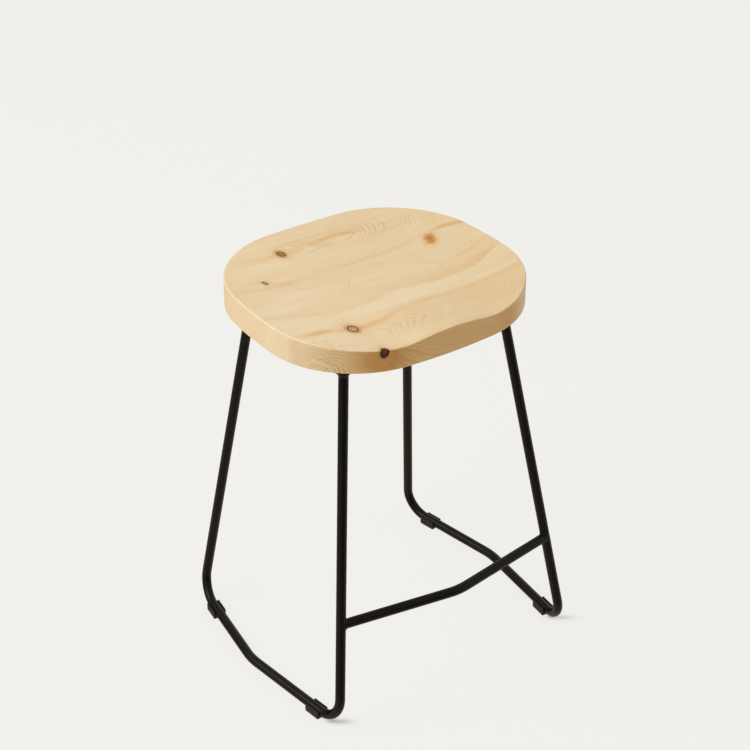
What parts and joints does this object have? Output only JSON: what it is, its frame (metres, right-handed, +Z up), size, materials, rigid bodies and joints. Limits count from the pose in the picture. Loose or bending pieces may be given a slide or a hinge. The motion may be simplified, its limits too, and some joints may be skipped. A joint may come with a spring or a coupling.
{
  "type": "bar stool",
  "caption": "Backless bar stool with a dished, edge-glued pine seat on two bent black steel tube side hoops joined by a footrest, with clip-on plastic glides under the runners.",
  "frame": {"origin": "centre of the footprint on the floor", "axes": "+Z up, the front (footrest side) faces -Y, +X is the right-hand side when looking along +Y from the front"},
  "size_m": [0.5232, 0.4488, 0.6602],
  "materials": {
    "pine": "clear matt lacquer over knotty pine",
    "black_steel": "satin black powder coat",
    "black_weld": "satin black powder coat over weld bead",
    "glide_plastic": "fine moulded texture, black",
    "screw_steel": "zinc plated"
  },
  "bodies": {
    "root": {"seat_board_1": "pine", "seat_board_2": "pine", "seat_board_3": "pine", "seat_board_4": "pine", "left_side_hoop": "black_steel", "right_side_hoop": "black_steel", "footrest_bar": "black_steel", "left_side_rail": "black_steel", "right_side_rail": "black_steel", "front_cross_rail": "black_steel", "back_cross_rail": "black_steel", "left_footrest_weld": "black_weld", "right_footrest_weld": "black_weld", "front_left_leg_weld": "black_weld", "front_right_leg_weld": "black_weld", "back_left_leg_weld": "black_weld", "back_right_leg_weld": "black_weld", "front_left_glide": "glide_plastic", "front_right_glide": "glide_plastic", "back_left_glide": "glide_plastic", "back_right_glide": "glide_plastic", "seat_screws": "screw_steel"}
  },
  "joints": []
}
